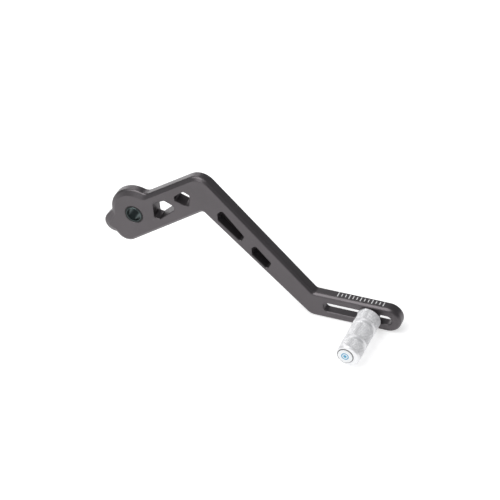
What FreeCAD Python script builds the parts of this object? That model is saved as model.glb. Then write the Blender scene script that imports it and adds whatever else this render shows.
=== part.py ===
import FreeCAD, Part
import math
import os

import Sketcher

# Gear shift lever for a motorcycle, in millimetres.
# X runs along the slotted limb towards the toe peg, Y into the bike, Z up.
# The origin is on the pivot axis, in the plane of the arm's outer face.

V = FreeCAD.Vector
doc = FreeCAD.newDocument("shift_lever")
sheet = doc.addObject("Spreadsheet::Sheet", "Sheet")

SIZES = [
    # milled arm
    ("plate_thick", 7.5, "thickness of the milled plate"),
    ("bevel_depth", 1.7, "depth of the wide bevel round the outer face"),
    ("bevel_round", 1.0, "rounding of the line between bevel and outer face"),
    ("side_round", 1.6, "rounding of the line between bevel and side"),
    ("rear_bevel", 0.8, "bevel round the rear face"),
    ("edge_break", 0.35, "small chamfer on slot and window edges"),
    ("hub_left_reach", 15.6, "pivot axis to the left side of the hub"),
    ("hub_top_reach", 17.4, "pivot axis to the top side of the hub"),
    ("hub_low_reach", 22.1, "pivot axis to the hub's lower left side"),
    ("first_top_reach", 8.5, "pivot axis to the first limb's top side"),
    ("first_low_reach", 15.7, "pivot axis to the first limb's bottom side"),
    ("slope_top_reach", 60.85, "pivot axis to the sloping limb's top side"),
    ("slope_low_reach", -40.8, "pivot axis to the sloping limb's bottom side"),
    ("boss_radius", 13.8, "rear boss round the pivot bore"),
    ("boss_height", 2.0, "how far the rear boss stands out"),
    ("bore_radius", 5.9, "pivot bore in the arm"),
    ("lug_radius", 7.0, "round end of the linkage lug"),
    ("lug_along", -14.5, "linkage lug centre, X"),
    ("lug_up", -10.5, "linkage lug centre, Z"),
    ("link_hole_radius", 2.5, "tapped M6 hole for the linkage ball stud"),
    ("link_hole_depth", 6.0, "depth of that hole, from the rear"),
    ("limb_half", 8.5, "half height of the slotted limb"),
    ("limb_level", -39.7, "centre line of the slotted limb, Z"),
    ("limb_end", 171.0, "tip of the slotted limb, X"),
    ("slot_half", 3.1, "half height of the adjusting slot"),
    ("slot_start", 125.0, "centre of the slot's inner round, X"),
    ("slot_finish", 162.3, "centre of the slot's outer round, X"),
    ("slot_flat", 0.01, "flat left between the two arcs at each end of the slot"),
    ("track_half", 5.5, "half height of the nut's track, cut into the rear face along the slot"),
    ("track_depth", 1.9, "depth of that track"),
    ("track_round", 2.7, "corner radius of that track"),
    ("track_past", 3.8, "how far the track reaches past the centres of the slot's rounds"),
    ("window_round_inner", 2.0, "corner radius of the inner window"),
    ("window_round_outer", 1.6, "corner radius of the outer window"),
    ("window_taper", 9.0, "taper of the two windows, in degrees"),
    ("pocket_round", 1.5, "corner radius of the two blind pockets"),
    ("pocket_depth", 5.8, "depth of the two blind pockets"),
    # pivot
    ("seal_width", 1.2, "width of each dust seal"),
    ("seal_sunk", 0.1, "how far each dust seal sits inside the bore's mouth"),
    ("seal_inner", 5.3, "inner radius of each dust seal"),
    ("bush_inner", 5.14, "inner radius of the pivot bush"),
    ("sleeve_outer", 5.1, "outer radius of the clamp sleeve"),
    ("sleeve_inner", 4.55, "inner radius of the clamp sleeve, for a 9 mm shoulder screw"),
    ("sleeve_proud", 0.1, "how far the sleeve stands out at each end"),
    ("turned_edge", 0.2, "small chamfer on the sleeve and the peg's washer"),
    # toe peg and its fixing
    ("bolt_along", 150.6, "peg bolt axis, X"),
    ("peg_offset", 1.4, "distance from the bolt axis to the peg's centre"),
    ("peg_radius", 7.4, "outer radius of the toe peg"),
    ("peg_length", 37.1, "length of the toe peg"),
    ("peg_edge", 0.9, "chamfer at both ends of the peg"),
    ("groove_width", 3.4, "width of the two necks between the grip bands"),
    ("groove_first", 0.3, "middle of the first neck, as a share of the peg's length"),
    ("groove_second", 0.72, "middle of the second neck, as a share of the peg's length"),
    ("groove_depth", 0.9, "depth of those necks"),
    ("groove_shoulder", 0.63, "length of the slope at each side of a neck"),
    ("shim_thick", 1.0, "washer between the peg and the arm"),
    ("shim_radius", 6.5, "outer radius of that washer"),
    ("bolt_radius", 3.0, "M6 bolt"),
    ("clear_radius", 3.2, "clearance bore for the bolt"),
    ("well_radius", 5.15, "bore for the bolt head and the cap"),
    ("well_floor", -20.0, "seat of the bolt head in the peg, Y"),
    ("head_radius", 4.9, "bolt head"),
    ("head_height", 6.0, "bolt head"),
    ("head_edge", 0.5, "chamfer of the bolt head"),
    ("hex_flats", 5.0, "hexagon socket, across flats"),
    ("hex_depth", 3.0, "depth of that socket"),
    ("lock_thick", 1.2, "spring washer under the bolt head"),
    ("bolt_tip", 9.2, "end of the bolt, Y"),
    ("tip_edge", 0.6, "chamfer at the end of the bolt"),
    ("nut_thick", 3.0, "flange of the slot nut"),
    ("nut_length", 10.6, "flange of the slot nut, along the slot"),
    ("nut_height", 10.6, "flange of the slot nut, across the slot"),
    ("nut_round", 2.5, "corner radius of that flange"),
    ("nut_hole", 3.03, "thread of the slot nut, as a plain bore"),
    ("tongue_length", 9.0, "tongue that keeps the nut from turning"),
    ("tongue_half", 3.0, "half height of the tongue"),
    ("tongue_depth", 3.0, "how far the tongue reaches into the slot"),
    # cap in the end of the peg
    ("cap_radius", 5.09, "cap body"),
    ("cap_length", 5.0, "cap body"),
    ("cap_proud", 0.3, "how far the cap stands out of the peg"),
    ("cap_edge", 0.3, "chamfer at both ends of the cap"),
    ("ring_place", 0.55, "O-ring groove, as a share of the cap's length"),
    ("ring_wire", 0.5, "half thickness of the cap's O-ring"),
    ("ring_slack", 0.01, "how much thinner the O-ring is than its groove, in radius"),
    ("badge_radius", 4.6, "round badge on the cap"),
    ("badge_thick", 0.6, "round badge on the cap"),
    ("badge_sunk", 0.4, "depth of the badge's seat in the cap"),
    ("badge_edge", 0.15, "chamfer of the badge"),
]

# Sides of the arm's outline, clockwise: name, angle of the outward normal, width of the bevel,
# radius of the corner that follows.
OUTLINE = [
    ("hub_left", 180.0, 2.8, 16.1),
    ("hub_top", 72.0, 4.0, 5.5),
    ("first_top", 123.1, 2.5, 11.0),
    ("slope_top", 44.5, 1.6, 3.0),
    ("limb_top", 90.0, 1.1, 8.3),
    ("limb_tip", 0.0, 1.1, 8.3),
    ("limb_low", 270.0, 1.1, 8.0),
    ("slope_low", 227.5, 1.4, 3.0),
    ("first_low", 304.1, 2.0, 8.0),
    ("hub_low", 221.0, 2.6, 1.5),
    ("lug_low", 262.0, 4.0, 7.0),
    ("lug_top", 139.0, 4.0, 3.0),
]
for side, angle, bevel_width, corner_radius in OUTLINE:
    SIZES.append((side + "_angle", angle, "angle of the side's normal, in degrees"))
    SIZES.append((side + "_bevel", bevel_width, "width of the side's bevel"))
    SIZES.append((side + "_round", corner_radius, "radius of the corner after the side"))

# Corners of the windows and pockets, as X and Z.
INNER_WINDOW = [(13.4, 11.4), (21.4, 15.2), (28.0, 12.2), (27.6, 9.6), (17.7, 0.6), (13.6, 1.2)]
OUTER_WINDOW = [(28.2, 19.6), (34.6, 24.9), (38.9, 23.0), (38.0, 15.1), (35.2, 14.6), (28.4, 17.0)]
LONG_POCKET = [(56.2, 13.5), (59.4, 16.6), (72.9, 0.6), (70.4, -3.4), (56.2, 9.4)]
SHORT_POCKET = [(77.2, -7.2), (79.8, -4.6), (89.5, -15.2), (86.9, -20.0), (77.2, -11.2)]

# Place and radius of a sketch's first shape, before its expressions move it; and what counts as touching.
START_PLACE = 10.0
START_RADIUS = 5.0
NEAR = 0.01

for row, (alias, value, note) in enumerate(SIZES, start=1):
    sheet.set("A%d" % row, alias)
    sheet.set("B%d" % row, str(value))
    sheet.set("C%d" % row, note)
    sheet.setAlias("B%d" % row, alias)
doc.recompute()


def size(alias):
    return float(sheet.get(alias))


# ---------------------------------------------------------------- outlines

def meet(side_a, side_b, inset_a=0.0, inset_b=0.0):
    """Corner of two sides, each given as (normal angle, distance from the origin)."""
    angle_a, reach_a = math.radians(side_a[0]), side_a[1] - inset_a
    angle_b, reach_b = math.radians(side_b[0]), side_b[1] - inset_b
    det = math.sin(angle_b - angle_a)
    x = (reach_a * math.sin(angle_b) - reach_b * math.sin(angle_a)) / det
    z = (reach_b * math.cos(angle_a) - reach_a * math.cos(angle_b)) / det
    return V(x, z, 0)


def rounded(corners, radii):
    """Closed outline of lines and arcs through corners, each rounded by its radius."""
    count = len(corners)
    ends = []
    for i in range(count):
        here = corners[i]
        back = (corners[i - 1] - here).normalize()
        ahead = (corners[(i + 1) % count] - here).normalize()
        half = back.getAngle(ahead) / 2
        run = radii[i] / math.tan(half)
        bisector = (back + ahead).normalize()
        centre = here + bisector * (radii[i] / math.sin(half))
        middle = centre - bisector * radii[i]
        ends.append((here + back * run, middle, here + ahead * run))
    shapes = []
    for i in range(count):
        start, middle, finish = ends[i]
        shapes.append(Part.Arc(start, middle, finish))
        shapes.append(Part.LineSegment(finish, ends[(i + 1) % count][0]))
    return shapes


def is_convex(sides, i):
    """True where side i turns outwards into side i + 1, going clockwise."""
    turn = (sides[i][0] - sides[(i + 1) % len(sides)][0]) % 360
    return turn < 180


def lug_reach(angle):
    """Distance from the pivot axis of a line that touches the linkage lug's round end."""
    turn = math.radians(angle)
    return size("lug_along") * math.cos(turn) + size("lug_up") * math.sin(turn) + size("lug_radius")


def arm_sides():
    """The arm's sides, clockwise: normal angle, distance from the pivot axis, bevel, next radius."""
    reaches = {
        "limb_top": size("limb_level") + size("limb_half"),
        "limb_tip": size("limb_end"),
        "limb_low": size("limb_half") - size("limb_level"),
        "lug_low": lug_reach(size("lug_low_angle")),
        "lug_top": lug_reach(size("lug_top_angle")),
    }
    sides = []
    for row in OUTLINE:
        name = row[0]
        reach = reaches[name] if name in reaches else size(name + "_reach")
        sides.append((size(name + "_angle"), reach, size(name + "_bevel"), size(name + "_round")))
    return sides


def arm_outline(bevel=None):
    """Outline of the arm, moved in by each side's own bevel, or by none (0) or a given one."""
    sides = arm_sides()
    count = len(sides)
    corners, radii = [], []
    for i in range(count):
        after = sides[(i + 1) % count]
        inset_a = sides[i][2] if bevel is None else bevel
        inset_b = after[2] if bevel is None else bevel
        corners.append(meet(sides[i], after, inset_a, inset_b))
        inset = (inset_a + inset_b) / 2 if is_convex(sides, i) else 0.0
        radii.append(sides[i][3] - inset)
    return rounded(corners, radii)


# ---------------------------------------------------------------- document helpers

def new_body(name):
    body = doc.addObject("PartDesign::Body", name)
    body.Label = name
    return body


def new_sketch(body, name, plane="XZ_Plane", depth=None):
    """Sketch on one of the body's own planes; depth is an expression for its Y."""
    sketch = body.newObject("Sketcher::SketchObject", name)
    planes = [f for f in body.Origin.OriginFeatures if f.Role == plane]
    sketch.AttachmentSupport = [(planes[0], "")]
    sketch.MapMode = "FlatFace"
    if depth:
        sketch.setExpression("AttachmentOffset.Base.z", "-(%s)" % depth)
    return sketch


def draw(sketch, shapes):
    sketch.addGeometry(shapes, False)
    doc.recompute()
    return sketch


def draw_circle(sketch, radius, along="0", up="0"):
    """Circle with its radius and centre bound to expressions."""
    centre = V(START_PLACE, START_PLACE, 0)
    circle = sketch.addGeometry(Part.Circle(centre, V(0, 0, 1), START_RADIUS), False)
    bindings = [
        (Sketcher.Constraint("Radius", circle, START_RADIUS), radius),
        (Sketcher.Constraint("DistanceX", -1, 1, circle, 3, START_PLACE), along),
        (Sketcher.Constraint("DistanceY", -1, 1, circle, 3, START_PLACE), up),
    ]
    for constraint, expression in bindings:
        index = sketch.addConstraint(constraint)
        sketch.setExpression("Constraints[%d]" % index, expression)
    doc.recompute()
    return sketch


def draw_profile(sketch, points):
    """Closed polygon whose corners are pairs of expressions; they move it from a starting polygon."""
    count = len(points)
    turns = [2 * math.pi * i / count for i in range(count)]
    probe = [V(START_PLACE + START_RADIUS * math.cos(turn), START_RADIUS * math.sin(turn), 0)
             for turn in turns]
    lines = [Part.LineSegment(probe[i - 1], probe[i]) for i in range(count)]
    sketch.addGeometry(lines, False)
    for i in range(count):
        sketch.addConstraint(Sketcher.Constraint("Coincident", (i - 1) % count, 2, i, 1))
    for i, (across, along) in enumerate(points):
        for kind, value, expression in (("DistanceX", probe[i].x, across), ("DistanceY", probe[i].y, along)):
            index = sketch.addConstraint(Sketcher.Constraint(kind, -1, 1, i, 2, value))
            sketch.setExpression("Constraints[%d]" % index, expression)
    doc.recompute()
    return sketch


def pad(body, sketch, length, towards_rear=True):
    feature = body.newObject("PartDesign::Pad", sketch.Name + "_pad")
    feature.Profile = sketch
    feature.setExpression("Length", length)
    feature.Reversed = towards_rear
    sketch.Visibility = False
    doc.recompute()


def pocket(body, sketch, depth=None, towards_rear=True):
    """Cut to a depth given by an expression, or right through."""
    feature = body.newObject("PartDesign::Pocket", sketch.Name + "_cut")
    feature.Profile = sketch
    feature.Reversed = not towards_rear
    if depth:
        feature.setExpression("Length", depth)
    else:
        feature.Type = "ThroughAll"
    sketch.Visibility = False
    doc.recompute()
    return feature


def loft(body, first, second):
    feature = body.newObject("PartDesign::AdditiveLoft", first.Name + "_loft")
    feature.Profile = first
    feature.Sections = [second]
    feature.Ruled = True
    first.Visibility = False
    second.Visibility = False
    doc.recompute()


def revolve(body, sketch):
    feature = body.newObject("PartDesign::Revolution", sketch.Name + "_turned")
    feature.Profile = sketch
    feature.ReferenceAxis = (sketch, ["V_Axis"])
    feature.Angle = 360
    sketch.Visibility = False
    doc.recompute()


def dress_edges(body, kind, amount, wanted):
    """Fillet or chamfer the edges of the body so far for which wanted(edge) is true."""
    base = body.Tip
    names = ["Edge%d" % (i + 1) for i, edge in enumerate(base.Shape.Edges) if wanted(edge)]
    dressed = body.newObject("PartDesign::" + kind, base.Name + "_" + kind.lower())
    dressed.Base = (base, names)
    dressed.setExpression("Radius" if kind == "Fillet" else "Size", amount)
    doc.recompute()


def lies_at(edge, depth):
    """True where the whole edge lies at one depth, measured along Y."""
    box = edge.BoundBox
    return abs(box.YMin - depth) < NEAR and abs(box.YMax - depth) < NEAR


def place(body, along=None, up=None):
    """Put a body's own axis at an X and a Z given by expressions."""
    if along:
        body.setExpression("Placement.Base.x", along)
    if up:
        body.setExpression("Placement.Base.z", up)


def turned(name, points, along=None, up=None):
    """A piece turned about an axis along Y, from pairs of (radius, Y) expressions."""
    body = new_body(name)
    sketch = new_sketch(body, name + "_profile", "XY_Plane")
    revolve(body, draw_profile(sketch, points))
    place(body, along, up)
    return body


def ring(inner, outer, front, rear, edge=None):
    """Profile of a plain ring, with its outer edges broken if edge is given."""
    if not edge:
        return [(inner, front), (outer, front), (outer, rear), (inner, rear)]
    return [
        (inner, front), ("%s - %s" % (outer, edge), front), (outer, "%s + %s" % (front, edge)),
        (outer, "%s - %s" % (rear, edge)), ("%s - %s" % (outer, edge), rear), (inner, rear),
    ]


# ---------------------------------------------------------------- the milled arm

def window(body, name, corners, radius, depth=None, taper=None):
    """Opening with rounded corners, cut from the outer face."""
    points = [V(x, z, 0) for x, z in corners]
    sketch = new_sketch(body, name)
    draw(sketch, rounded(points, [radius] * len(points)))
    cut = pocket(body, sketch, depth)
    if taper:
        cut.setExpression("TaperAngle", taper)
        doc.recompute()


def make_arm():
    body = new_body("lever_arm")
    core_start = new_sketch(body, "bevel_outer", depth="Sheet.bevel_depth")
    draw(core_start, arm_outline(0.0))
    pad(body, core_start, "Sheet.plate_thick - Sheet.bevel_depth - Sheet.rear_bevel")

    front_base = new_sketch(body, "front_base", depth="Sheet.bevel_depth")
    draw(front_base, arm_outline(0.0))
    front_face = new_sketch(body, "front_face")
    draw(front_face, arm_outline())
    loft(body, front_base, front_face)

    rear_base = new_sketch(body, "rear_base", depth="Sheet.plate_thick - Sheet.rear_bevel")
    draw(rear_base, arm_outline(0.0))
    rear_face = new_sketch(body, "rear_face", depth="Sheet.plate_thick")
    draw(rear_face, arm_outline(size("rear_bevel")))
    loft(body, rear_base, rear_face)

    dress_edges(body, "Fillet", "Sheet.bevel_round", lambda edge: lies_at(edge, 0.0))
    dress_edges(body, "Fillet", "Sheet.side_round", lambda edge: lies_at(edge, size("bevel_depth")))

    boss = new_sketch(body, "rear_boss", depth="Sheet.plate_thick")
    pad(body, draw_circle(boss, "Sheet.boss_radius"), "Sheet.boss_height")
    bore = new_sketch(body, "pivot_bore")
    pocket(body, draw_circle(bore, "Sheet.bore_radius"))
    link = new_sketch(body, "link_hole", depth="Sheet.plate_thick")
    draw_circle(link, "Sheet.link_hole_radius", "Sheet.lug_along", "Sheet.lug_up")
    pocket(body, link, "Sheet.link_hole_depth", towards_rear=False)

    # two lightening windows in the first limb, then two blind pockets in the sloping limb
    window(body, "window_inner", INNER_WINDOW, size("window_round_inner"), "Sheet.plate_thick",
           "-Sheet.window_taper")
    window(body, "window_outer", OUTER_WINDOW, size("window_round_outer"), "Sheet.plate_thick",
           "-Sheet.window_taper")
    window(body, "pocket_long", LONG_POCKET, size("pocket_round"), "Sheet.pocket_depth")
    window(body, "pocket_short", SHORT_POCKET, size("pocket_round"), "Sheet.pocket_depth")

    # adjusting slot in the lower limb, and behind it the track for the nut
    half, level = size("slot_half"), size("limb_level")
    left, right = size("slot_start") - half, size("slot_finish") + half
    corners = [(left, level - half), (left, level + half), (right, level + half), (right, level - half)]
    window(body, "slot", corners, half - size("slot_flat"))
    track = new_sketch(body, "nut_track", depth="Sheet.plate_thick")
    half, past = size("track_half"), size("track_past")
    left, right = size("slot_start") - past, size("slot_finish") + past
    corners = [V(left, level - half, 0), V(left, level + half, 0), V(right, level + half, 0),
               V(right, level - half, 0)]
    draw(track, rounded(corners, [size("track_round")] * len(corners)))
    pocket(body, track, "Sheet.track_depth", towards_rear=False)

    # break the rims of everything cut from the outer face
    outer_faces = [face for face in body.Tip.Shape.Faces if abs(face.BoundBox.YMax) < NEAR]
    openings = [wire for face in outer_faces for wire in face.Wires if not wire.isSame(face.OuterWire)]
    rims = [edge for wire in openings for edge in wire.Edges]
    dress_edges(body, "Chamfer", "Sheet.edge_break", lambda edge: any(edge.isSame(rim) for rim in rims))


def make_pivot():
    """Dust seals, bush and clamp sleeve, all on the pivot axis."""
    front, rear = "Sheet.seal_sunk", "Sheet.plate_thick + Sheet.boss_height"
    bush_front, bush_rear = front + " + Sheet.seal_width", rear + " - Sheet.seal_sunk - Sheet.seal_width"
    turned("seal_front", ring("Sheet.seal_inner", "Sheet.bore_radius", front, bush_front))
    turned("seal_rear", ring("Sheet.seal_inner", "Sheet.bore_radius", bush_rear,
                             rear + " - Sheet.seal_sunk"))
    turned("pivot_bush", ring("Sheet.bush_inner", "Sheet.bore_radius", bush_front, bush_rear))
    turned("pivot_sleeve", ring("Sheet.sleeve_inner", "Sheet.sleeve_outer", "-Sheet.sleeve_proud",
                                rear + " + Sheet.sleeve_proud", "Sheet.turned_edge"))


# ---------------------------------------------------------------- toe peg and its fixing

def make_toe_peg():
    """Gripped peg whose bolt hole is off centre, so turning it sets the peg's height."""
    face = "-Sheet.shim_thick"
    tip = "-(Sheet.shim_thick + Sheet.peg_length)"
    full, edge = "Sheet.peg_radius", "Sheet.peg_edge"
    low = "Sheet.peg_radius - Sheet.groove_depth"
    points = [("0", face), ("%s - %s" % (full, edge), face), (full, "%s - %s" % (face, edge))]
    for share in ("Sheet.groove_first", "Sheet.groove_second"):
        middle = "(%s - Sheet.peg_length * %s)" % (face, share)
        near = "%s + Sheet.groove_width / 2" % middle
        far = "%s - Sheet.groove_width / 2" % middle
        points += [(full, near), (low, near + " - Sheet.groove_shoulder")]
        points += [(low, far + " + Sheet.groove_shoulder"), (full, far)]
    points += [(full, "%s + %s" % (tip, edge)), ("%s - %s" % (full, edge), tip), ("0", tip)]
    body = turned("toe_peg", points, "Sheet.bolt_along + Sheet.peg_offset", "Sheet.limb_level")
    hole = new_sketch(body, "bolt_bore")
    pocket(body, draw_circle(hole, "Sheet.clear_radius", "-Sheet.peg_offset"), towards_rear=False)
    well = new_sketch(body, "head_well", depth="Sheet.well_floor")
    pocket(body, draw_circle(well, "Sheet.well_radius", "-Sheet.peg_offset"), towards_rear=False)


def make_bolt():
    seat = "(Sheet.well_floor - Sheet.lock_thick)"
    top = "(%s - Sheet.head_height)" % seat
    body = turned("peg_bolt", [
        ("0", top), ("Sheet.head_radius - Sheet.head_edge", top),
        ("Sheet.head_radius", top + " + Sheet.head_edge"),
        ("Sheet.head_radius", seat), ("Sheet.bolt_radius", seat),
        ("Sheet.bolt_radius", "Sheet.bolt_tip - Sheet.tip_edge"),
        ("Sheet.bolt_radius - Sheet.tip_edge", "Sheet.bolt_tip"), ("0", "Sheet.bolt_tip"),
    ], "Sheet.bolt_along", "Sheet.limb_level")
    reach = size("hex_flats") / math.sqrt(3)
    turns = [math.radians(60 * i) for i in range(6)]
    corners = [V(reach * math.cos(turn), reach * math.sin(turn), 0) for turn in turns]
    socket = new_sketch(body, "hex_socket", depth=top)
    draw(socket, [Part.LineSegment(corners[i - 1], corners[i]) for i in range(6)])
    pocket(body, socket, "Sheet.hex_depth")


def make_washers():
    turned("spring_washer",
           ring("Sheet.clear_radius", "Sheet.head_radius", "Sheet.well_floor - Sheet.lock_thick",
                "Sheet.well_floor"), "Sheet.bolt_along", "Sheet.limb_level")
    turned("peg_shim",
           ring("Sheet.clear_radius", "Sheet.shim_radius", "-Sheet.shim_thick", "0", "Sheet.turned_edge"),
           "Sheet.bolt_along", "Sheet.limb_level")


def box_outline(length, height, radius):
    half_x, half_z = length / 2, height / 2
    corners = [V(-half_x, -half_z, 0), V(-half_x, half_z, 0), V(half_x, half_z, 0), V(half_x, -half_z, 0)]
    return rounded(corners, [radius] * 4)


def make_slot_nut():
    """Flanged nut in the track behind the slot, with a tongue in the slot."""
    body = new_body("slot_nut")
    seat = "Sheet.plate_thick - Sheet.track_depth"
    flange = new_sketch(body, "nut_flange", depth=seat)
    draw(flange, box_outline(size("nut_length"), size("nut_height"), size("nut_round")))
    pad(body, flange, "Sheet.nut_thick")
    tongue = new_sketch(body, "nut_tongue", depth=seat)
    half = size("tongue_half")
    draw(tongue, box_outline(size("tongue_length"), 2 * half, half - size("slot_flat")))
    pad(body, tongue, "Sheet.tongue_depth", towards_rear=False)
    hole = new_sketch(body, "nut_thread", depth=seat + " + Sheet.nut_thick")
    pocket(body, draw_circle(hole, "Sheet.nut_hole"), towards_rear=False)
    place(body, "Sheet.bolt_along", "Sheet.limb_level")


# ---------------------------------------------------------------- cap in the end of the peg

def make_cap():
    tip = "(-(Sheet.shim_thick + Sheet.peg_length))"
    front = "(%s - Sheet.cap_proud)" % tip
    rear = "(%s + Sheet.cap_length)" % front
    groove = "(%s + Sheet.cap_length * Sheet.ring_place)" % front
    seat = "%s + Sheet.badge_sunk" % front
    low = "Sheet.cap_radius - 2 * Sheet.ring_wire"
    turned("end_cap", [
        ("0", seat), ("Sheet.badge_radius", seat), ("Sheet.badge_radius", front),
        ("Sheet.cap_radius - Sheet.cap_edge", front), ("Sheet.cap_radius", front + " + Sheet.cap_edge"),
        ("Sheet.cap_radius", groove + " - Sheet.ring_wire"), (low, groove + " - Sheet.ring_wire"),
        (low, groove + " + Sheet.ring_wire"), ("Sheet.cap_radius", groove + " + Sheet.ring_wire"),
        ("Sheet.cap_radius", rear + " - Sheet.cap_edge"), ("Sheet.cap_radius - Sheet.cap_edge", rear),
        ("0", rear),
    ], "Sheet.bolt_along", "Sheet.limb_level")

    cap_ring = doc.addObject("Part::Torus", "cap_ring")
    cap_ring.Label = "cap_ring"
    cap_ring.setExpression("Radius1", "Sheet.cap_radius - Sheet.ring_wire")
    cap_ring.setExpression("Radius2", "Sheet.ring_wire - Sheet.ring_slack")
    cap_ring.Placement = FreeCAD.Placement(V(0, 0, 0), FreeCAD.Rotation(V(1, 0, 0), 90))
    cap_ring.setExpression("Placement.Base.x", "Sheet.bolt_along")
    cap_ring.setExpression("Placement.Base.y", groove)
    cap_ring.setExpression("Placement.Base.z", "Sheet.limb_level")

    badge_front = seat + " - Sheet.badge_thick"
    turned("cap_badge", ring("0", "Sheet.badge_radius", badge_front, seat, "Sheet.badge_edge"),
           "Sheet.bolt_along", "Sheet.limb_level")


make_arm()
make_pivot()
make_toe_peg()
make_bolt()
make_washers()
make_slot_nut()
make_cap()
doc.recompute()

# ---------------------------------------------------------------- checks and export

for thing in doc.Objects:
    bad = [word for word in thing.State if word in ("Invalid", "Error")]
    if bad:
        raise RuntimeError("%s: %s" % (thing.Label, bad))

NODES = ["lever_arm", "seal_front", "seal_rear", "pivot_bush", "pivot_sleeve", "toe_peg", "peg_bolt",
         "spring_washer", "peg_shim", "slot_nut", "end_cap", "cap_ring", "cap_badge"]
os.makedirs("parts", exist_ok=True)
for name in NODES:
    shape = doc.getObjectsByLabel(name)[0].Shape
    if shape.isNull() or not shape.isValid():
        raise RuntimeError("bad shape: " + name)
    print("%-14s volume %9.1f  solids %d" % (name, shape.Volume, len(shape.Solids)))
    shape.exportStep("parts/%s.step" % name)
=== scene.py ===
import math

import bpy
from mathutils import Matrix, Vector


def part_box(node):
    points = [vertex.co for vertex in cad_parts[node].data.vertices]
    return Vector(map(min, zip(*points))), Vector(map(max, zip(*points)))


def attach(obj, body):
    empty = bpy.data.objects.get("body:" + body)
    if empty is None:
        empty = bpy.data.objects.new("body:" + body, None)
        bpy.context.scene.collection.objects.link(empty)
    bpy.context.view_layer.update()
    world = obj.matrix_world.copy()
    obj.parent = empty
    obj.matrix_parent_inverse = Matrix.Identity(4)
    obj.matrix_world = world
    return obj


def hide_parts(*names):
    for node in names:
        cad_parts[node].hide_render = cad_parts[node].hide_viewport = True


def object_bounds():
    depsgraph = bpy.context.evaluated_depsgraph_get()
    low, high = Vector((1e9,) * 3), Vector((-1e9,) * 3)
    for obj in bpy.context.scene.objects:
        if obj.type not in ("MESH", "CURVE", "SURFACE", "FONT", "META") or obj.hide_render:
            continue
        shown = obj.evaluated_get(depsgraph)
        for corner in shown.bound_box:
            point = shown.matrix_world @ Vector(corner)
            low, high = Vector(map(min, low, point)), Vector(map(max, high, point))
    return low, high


# Gear shift lever: the CAD pieces with their finishes, a knurled toe peg, printed marks and the studio.
# Everything is in metres, in the frame of the CAD: X along the slotted limb, Y into the motorcycle, Z up.

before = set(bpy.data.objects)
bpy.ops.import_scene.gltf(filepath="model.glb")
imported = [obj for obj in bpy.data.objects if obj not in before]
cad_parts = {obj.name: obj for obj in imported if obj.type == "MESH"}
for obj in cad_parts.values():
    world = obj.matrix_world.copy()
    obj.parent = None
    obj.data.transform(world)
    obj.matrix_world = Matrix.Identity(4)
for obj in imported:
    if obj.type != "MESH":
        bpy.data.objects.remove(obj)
frame_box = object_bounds()
MM = 0.001


# ---------------------------------------------------------------- shader helpers

class Shader:
    """A node material under construction, with a few short ways to add nodes."""

    def __init__(self, name):
        self.material = bpy.data.materials.new(name)
        self.material.use_nodes = True
        self.tree = self.material.node_tree
        self.surface = self.tree.nodes["Principled BSDF"]
        self.place = self.add("ShaderNodeTexCoord").outputs["Object"]

    def add(self, kind, **values):
        node = self.tree.nodes.new(kind)
        for key, value in values.items():
            setattr(node, key, value)
        return node

    def link(self, source, target):
        self.tree.links.new(source, target)

    def set(self, socket, value):
        self.surface.inputs[socket].default_value = value

    def noise(self, scale, detail):
        """Noise over the object's own coordinates."""
        node = self.add("ShaderNodeTexNoise")
        node.inputs["Scale"].default_value = scale
        node.inputs["Detail"].default_value = detail
        self.link(self.place, node.inputs["Vector"])
        return node.outputs["Fac"]

    def ramp(self, source, stops):
        """Colour ramp from a list of (position, colour)."""
        node = self.add("ShaderNodeValToRGB")
        elements = node.color_ramp.elements
        halfway = 0.5
        while len(elements) < len(stops):
            elements.new(halfway)
        for element, (position, colour) in zip(elements, stops):
            element.position = position
            element.color = (*colour, 1.0)
        self.link(source, node.inputs["Fac"])
        return node.outputs["Color"]

    def span(self, source, low, high):
        """Map 0..1 onto low..high."""
        node = self.add("ShaderNodeMapRange")
        node.inputs["To Min"].default_value = low
        node.inputs["To Max"].default_value = high
        self.link(source, node.inputs["Value"])
        return node.outputs["Result"]

    def mix(self, factor, base, colour):
        """Lay a plain colour over a base colour, by a factor."""
        node = self.add("ShaderNodeMix", data_type="RGBA")
        sockets = [socket for socket in node.inputs if socket.enabled]
        self.link(factor, sockets[0])
        self.link(base, sockets[1])
        sockets[2].default_value = (*colour, 1.0)
        return [socket for socket in node.outputs if socket.enabled][0]

    def bump(self, height, distance):
        node = self.add("ShaderNodeBump")
        node.inputs["Distance"].default_value = distance
        self.link(height, node.inputs["Height"])
        self.link(node.outputs["Normal"], self.surface.inputs["Normal"])

    def feed(self, source, socket):
        self.link(source, self.surface.inputs[socket])


# Noise behind the finishes: its scale and detail, and how far it moves the tone and the roughness.
PATCH_SCALE, PATCH_DETAIL = 55.0, 4.0
METAL_DETAIL, METAL_DULLER, METAL_GLOSSIER = 3.0, 0.06, 0.05
SOFT_DETAIL, SOFT_SWING, SOFT_DARKER = 4.0, 0.06, 0.85


def metal(name, colour, roughness, grain=900.0, mottling=0.12, bump=2e-6, metallic=1.0):
    """Metal with uneven tone and gloss and a fine grain."""
    shader = Shader(name)
    shader.set("Metallic", metallic)
    broad = shader.noise(PATCH_SCALE, PATCH_DETAIL)
    fine = shader.noise(grain, METAL_DETAIL)
    dark = tuple(channel * (1 - mottling) for channel in colour)
    light = tuple(min(channel * (1 + mottling), 1.0) for channel in colour)
    shader.feed(shader.ramp(broad, [(0.3, dark), (0.7, light)]), "Base Color")
    shader.feed(shader.span(fine, roughness - METAL_GLOSSIER, roughness + METAL_DULLER), "Roughness")
    shader.bump(fine, bump)
    return shader


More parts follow.
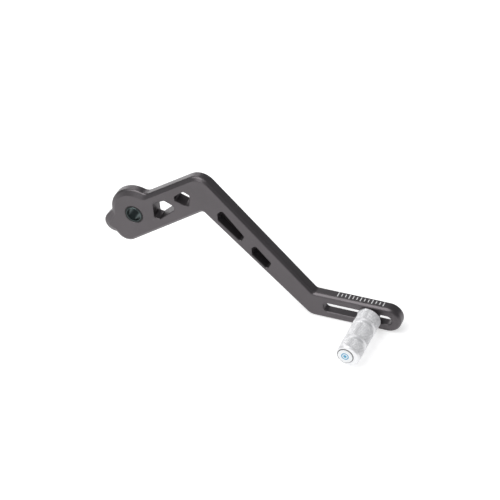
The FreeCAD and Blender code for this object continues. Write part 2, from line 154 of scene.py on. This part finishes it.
def soft(name, colour, roughness, grain=1500.0, bump=4e-6):
    """Rubber or plastic with a fine moulded grain."""
    shader = Shader(name)
    fine = shader.noise(grain, SOFT_DETAIL)
    dark = tuple(channel * SOFT_DARKER for channel in colour)
    shader.feed(shader.ramp(fine, [(0.35, dark), (0.65, colour)]), "Base Color")
    shader.feed(shader.span(fine, roughness - SOFT_SWING, roughness + SOFT_SWING), "Roughness")
    shader.bump(fine, bump)
    return shader


# ---------------------------------------------------------------- materials

def anodised_arm():
    """Matt black anodised aluminium, slightly warm, with a fine blasted grain and a few rubbed spots."""
    shader = metal("anodised_arm", (0.106, 0.097, 0.102), 0.36, grain=1800.0, mottling=0.05, bump=1.2e-6,
                   metallic=0.82)
    untouched, half_rubbed = (0.0, 0.0, 0.0), (0.5, 0.5, 0.5)
    spot_scale, spot_detail, spot_edge, spot_core = 420.0, 6.0, 0.66, 0.74
    spots = shader.noise(spot_scale, spot_detail)
    rubbed = shader.ramp(spots, [(spot_edge, untouched), (spot_core, half_rubbed)])
    base = shader.surface.inputs["Base Color"].links[0].from_socket
    bare_tone = (0.17, 0.16, 0.165)
    shader.feed(shader.mix(rubbed, base, bare_tone), "Base Color")
    return shader.material


def badge_plastic(centre, radius):
    """White gloss badge with a plain blue ring and dot printed on it."""
    paper, ink = (0.88, 0.89, 0.9), (0.05, 0.36, 0.58)
    shader = soft("badge_plastic", paper, 0.28, grain=900.0, bump=1e-6)
    offset = shader.add("ShaderNodeVectorMath", operation="SUBTRACT")
    offset.inputs[1].default_value = centre
    shader.link(shader.place, offset.inputs[0])
    flat = shader.add("ShaderNodeVectorMath", operation="MULTIPLY")
    flat.inputs[1].default_value = (1.0 / radius, 0.0, 1.0 / radius)
    shader.link(offset.outputs["Vector"], flat.inputs[0])
    length = shader.add("ShaderNodeVectorMath", operation="LENGTH")
    shader.link(flat.outputs["Vector"], length.inputs[0])
    dot, ring_inner, ring_outer, blur = 0.22, 0.36, 0.5, 0.02
    stops = [(0.0, ink), (dot, ink), (dot + blur, paper), (ring_inner, paper),
             (ring_inner + blur, ink), (ring_outer, ink), (ring_outer + blur, paper)]
    shader.feed(shader.ramp(length.outputs["Value"], stops), "Base Color")
    return shader.material


def white_print():
    """Matt white laser mark, slightly uneven."""
    return soft("white_print", (0.8, 0.8, 0.8), 0.6, grain=2500.0, bump=1e-6).material


def dress(node, material):
    """Give a CAD node one material."""
    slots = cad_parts[node].data.materials
    slots.clear()
    slots.append(material)


badge_low, badge_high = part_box("cap_badge")
badge_centre = (Vector(badge_low) + Vector(badge_high)) / 2
badge_radius = (badge_high[0] - badge_low[0]) / 2

rubber = soft("seal_rubber", (0.012, 0.012, 0.013), 0.62).material
bright_steel = metal("washer_steel", (0.56, 0.56, 0.57), 0.3).material
bolt_steel = metal("bolt_steel", (0.4, 0.4, 0.41), 0.34).material
peg_metal = metal("peg_aluminium", (0.86, 0.86, 0.87), 0.36, grain=1500.0, mottling=0.02, bump=1.5e-6,
                  metallic=0.45).material

dress("lever_arm", anodised_arm())
dress("seal_front", rubber)
dress("seal_rear", rubber)
dress("cap_ring", rubber)
dress("pivot_bush", soft("bush_plastic", (0.05, 0.06, 0.06), 0.5).material)
dress("pivot_sleeve", metal("sleeve_steel", (0.07, 0.09, 0.09), 0.32).material)
dress("peg_shim", bright_steel)
dress("peg_bolt", bolt_steel)
dress("spring_washer", bolt_steel)
dress("slot_nut", metal("nut_steel", (0.06, 0.06, 0.065), 0.5, mottling=0.3).material)
dress("end_cap", soft("cap_plastic", (0.16, 0.16, 0.165), 0.45).material)
dress("cap_badge", badge_plastic(badge_centre, badge_radius))


# ---------------------------------------------------------------- knurled toe peg

def mesh_piece(name, points, faces, material):
    """Object made from points and faces, with one material."""
    mesh = bpy.data.meshes.new(name)
    mesh.from_pydata(points, [], faces)
    mesh.update()
    mesh.materials.append(material)
    piece = bpy.data.objects.new(name, mesh)
    bpy.context.scene.collection.objects.link(piece)
    return piece


def shade_by_angle(mesh, limit):
    """Smooth shading, with edges sharper than the limit kept sharp."""
    mesh.shade_smooth()
    mesh.set_sharp_from_angle(angle=limit)


peg_low, peg_high = (Vector(corner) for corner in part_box("toe_peg"))
cap_low, cap_high = (Vector(corner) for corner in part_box("end_cap"))
PEG_RADIUS = (peg_high.x - peg_low.x) / 2
PEG_AXIS_X = (peg_high.x + peg_low.x) / 2
PEG_AXIS_Z = (peg_high.z + peg_low.z) / 2
PEG_LENGTH = peg_high.y - peg_low.y
BOLT_X = (cap_high.x + cap_low.x) / 2

# The middles of the two necks, from the arm outwards, as shares of the peg's length.
NECKS = (0.3, 0.72)
# The peg's other sizes, as in the CAD.
NECK_HALF = 1.7 * MM
NECK_DEPTH = 0.9 * MM
NECK_SLOPE = 0.63 * MM
END_CHAMFER = 0.9 * MM
WELL_RADIUS = 5.15 * MM
WELL_DEPTH = 18.1 * MM
BOLT_HOLE_RADIUS = 3.2 * MM
# The knurling and the mesh that carries it.
KNURL_DEPTH = 0.3 * MM
KNURL_STARTS = 34           # grooves of each hand round the peg
KNURL_LEAN = math.radians(45)
KNURL_STEEPNESS = 1.8       # over 1, so that the diamonds have flat tops
KNURL_PLAIN = 0.2 * MM      # plain strip at each end of a grip band
KNURL_FULL = 0.35 * MM      # distance from the band's end to the full depth
ROUND_STEPS = 288
ALONG_STEP = 0.16 * MM
CORNER_ROOM = 0.3           # even rings nearer to a corner than this share of a step are left out
SHARP_ANGLE = math.radians(30)


def ramp_between(value, start, finish):
    """0 up to the start, 1 from the finish on, and straight in between."""
    return min(max((value - start) / (finish - start), 0.0), 1.0)


def peg_radius_at(along):
    """Plain radius of the peg at a distance from the arm's end of it, and its share of knurling."""
    to_end = min(along, PEG_LENGTH - along)
    radius = PEG_RADIUS - max(END_CHAMFER - to_end, 0.0)
    share = ramp_between(to_end, END_CHAMFER + KNURL_PLAIN, END_CHAMFER + KNURL_FULL)
    for neck in NECKS:
        away = abs(along - neck * PEG_LENGTH)
        sink = 1.0 - ramp_between(away, NECK_HALF - NECK_SLOPE, NECK_HALF)
        radius -= NECK_DEPTH * sink
        share *= ramp_between(away, NECK_HALF + KNURL_PLAIN, NECK_HALF + KNURL_FULL)
    return radius, share


def knurl_depth(angle, along):
    """Depth of a diamond pattern: two families of V grooves that lean opposite ways."""
    lean = math.tan(KNURL_LEAN) / PEG_RADIUS
    depth = 0.0
    for hand in (1, -1):
        phase = (angle + hand * along * lean) * KNURL_STARTS / (2 * math.pi)
        ridge = abs((phase % 1.0) * 2 - 1)
        depth = max(depth, 1.0 - KNURL_STEEPNESS * (1.0 - ridge))
    return KNURL_DEPTH * depth


def peg_stations():
    """Distances along the peg, evenly spaced, with the corners of the profile added."""
    corners = [0.0, END_CHAMFER, PEG_LENGTH - END_CHAMFER, PEG_LENGTH]
    for neck in NECKS:
        middle = neck * PEG_LENGTH
        for reach in (NECK_HALF, NECK_HALF - NECK_SLOPE):
            corners += [middle - reach, middle + reach]
    count = round(PEG_LENGTH / ALONG_STEP)
    even = [PEG_LENGTH * i / count for i in range(count + 1)]
    room = ALONG_STEP * CORNER_ROOM
    kept = [value for value in even if min(abs(value - corner) for corner in corners) > room]
    return sorted(kept + corners)


def make_toe_peg():
    """The peg's skin with cut knurling, its two end faces, and the bore for the bolt and the cap."""
    stations = peg_stations()
    turns = [2 * math.pi * i / ROUND_STEPS for i in range(ROUND_STEPS)]
    points, faces = [], []

    def add_ring(centre_x, along, radii):
        y = peg_high.y - along
        start = len(points)
        for turn, radius in zip(turns, radii):
            points.append((centre_x + radius * math.cos(turn), y, PEG_AXIS_Z + radius * math.sin(turn)))
        return start

    def join(first, second):
        for i in range(ROUND_STEPS):
            after = (i + 1) % ROUND_STEPS
            faces.append((first + i, first + after, second + after, second + i))

    rings = []
    for along in stations:
        radius, share = peg_radius_at(along)
        rings.append(add_ring(PEG_AXIS_X, along,
                              [radius - share * knurl_depth(turn, along) for turn in turns]))
    bore = [(PEG_LENGTH, WELL_RADIUS), (PEG_LENGTH - WELL_DEPTH, WELL_RADIUS),
            (PEG_LENGTH - WELL_DEPTH, BOLT_HOLE_RADIUS), (0.0, BOLT_HOLE_RADIUS)]
    for along, radius in bore:
        rings.append(add_ring(BOLT_X, along, [radius] * ROUND_STEPS))
    for first, second in zip(rings, rings[1:] + rings[:1]):
        join(first, second)
    peg = mesh_piece("toe_peg_knurled", points, faces, peg_metal)
    shade_by_angle(peg.data, SHARP_ANGLE)
    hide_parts("toe_peg")
    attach(peg, "peg")


make_toe_peg()


# ---------------------------------------------------------------- setting marks on the slotted limb

LIMB_TOP = -31.2 * MM
MARK_PROUD = 0.02 * MM
MARK_THICK = 0.05 * MM
MARK_HALF_LONG = 1.9 * MM
MARK_HALF_SHORT = 1.3 * MM
LONG_MARK_EVERY = 3


def make_marks():
    """White ticks on the top side of the slotted limb, which show where the peg is set."""
    first, spacing, count = 130.5 * MM, 2.4 * MM, 13
    top = LIMB_TOP + MARK_PROUD
    middle_y, half_thick = 4.3 * MM, 0.3 * MM
    points, faces = [], []
    for i in range(count):
        half_long = MARK_HALF_LONG if i % LONG_MARK_EVERY == 0 else MARK_HALF_SHORT
        x = first + spacing * i
        start = len(points)
        for dx, dy in ((-half_thick, -half_long), (half_thick, -half_long),
                       (half_thick, half_long), (-half_thick, half_long)):
            for z in (top - MARK_THICK, top):
                points.append((x + dx, middle_y + dy, z))
        faces.append(tuple(start + k for k in (1, 3, 5, 7)))
        faces.append(tuple(start + k for k in (6, 4, 2, 0)))
        for k in range(4):
            low, next_low = start + 2 * k, start + 2 * ((k + 1) % 4)
            faces.append((low, next_low, next_low + 1, low + 1))
    marks = mesh_piece("setting_marks", points, faces, white_print())
    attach(marks, "arm")


make_marks()


# ---------------------------------------------------------------- studio

WORLD_COLOUR = (0.96, 0.97, 1.0, 1.0)
WORLD_STRENGTH = 0.26
FLOOR_HALF = 5.0
FLOOR_GREY = 0.7
FLOOR_ROUGHNESS = 0.95
FLOOR_GLOW = 0.6
SENSOR_MM = 36.0
NEAREST_SEEN = 0.05

# Soft lamps round the object: name, azimuth, elevation, distance, width, height, watts.
LAMPS = [
    ("overhead", -42.0, 63.0, 0.95, 0.85, 0.85, 7.6),
    ("front", -12.0, 17.0, 1.0, 0.4, 0.3, 0.7),
    ("back_left", -138.0, 8.0, 1.1, 0.6, 0.4, 1.3),
    ("back", -142.0, 40.0, 1.0, 0.35, 0.5, 1.0),
]


def outward(azimuth, elevation):
    """Unit vector that leads away from the object, by azimuth and elevation in degrees."""
    turn, lift = math.radians(azimuth), math.radians(elevation)
    return Vector((math.sin(turn) * math.cos(lift), -math.cos(turn) * math.cos(lift), math.sin(lift)))


def studio(floor_level, centre):
    """Pale floor and a soft, even surround."""
    world = bpy.data.worlds.new("studio")
    bpy.context.scene.world = world
    world.use_nodes = True
    background = world.node_tree.nodes["Background"]
    background.inputs["Color"].default_value = WORLD_COLOUR
    background.inputs["Strength"].default_value = WORLD_STRENGTH

    half = FLOOR_HALF
    corners = [(-half, -half), (half, -half), (half, half), (-half, half)]
    points = [(centre.x + x, centre.y + y, floor_level) for x, y in corners]
    shader = Shader("studio_floor")
    shader.set("Base Color", (FLOOR_GREY, FLOOR_GREY, FLOOR_GREY, 1.0))
    shader.set("Roughness", FLOOR_ROUGHNESS)
    shader.set("Emission Color", (1.0, 1.0, 1.0, 1.0))
    shader.set("Emission Strength", FLOOR_GLOW)
    floor = mesh_piece("studio_floor", points, [(0, 1, 2, 3)], shader.material)


def panel(name, azimuth, elevation, distance, centre, width, height, power):
    """Soft rectangular lamp at an azimuth and elevation round the object, facing it."""
    away = outward(azimuth, elevation)
    light = bpy.data.lights.new(name, "AREA")
    light.shape = "RECTANGLE"
    light.size = width
    light.size_y = height
    light.energy = power
    lamp = bpy.data.objects.new(name, light)
    lamp.location = centre + away * distance
    lamp.rotation_euler = away.to_track_quat("Z", "Y").to_euler()
    lamp.visible_camera = False
    bpy.context.scene.collection.objects.link(lamp)


def aim_camera(azimuth, elevation, roll, distance, target, lens):
    """Camera at an azimuth and elevation round a target, with a slight roll."""
    away = outward(azimuth, elevation)
    camera = bpy.data.cameras.new("camera")
    camera.sensor_width = SENSOR_MM
    camera.lens = lens
    camera.clip_start = NEAREST_SEEN
    body = bpy.data.objects.new("camera", camera)
    look = away.to_track_quat("Z", "Y").to_matrix().to_4x4()
    roll_turn = Matrix.Rotation(math.radians(roll), 4, "Z")
    body.matrix_world = Matrix.Translation(target + away * distance) @ look @ roll_turn
    bpy.context.scene.collection.objects.link(body)
    bpy.context.scene.camera = body


low, high = (Vector(corner) for corner in frame_box)
middle = (low + high) / 2
studio(low.z, middle)
for name, azimuth, elevation, distance, width, height, power in LAMPS:
    panel(name, azimuth, elevation, distance, middle, width, height, power)
camera_target = Vector((0.07626, 0.0, -0.00817))
aim_camera(azimuth=24.99, elevation=37.46, roll=-3.72, distance=1.2386, target=camera_target, lens=149.2)
bpy.context.scene.view_settings.view_transform = "Standard"
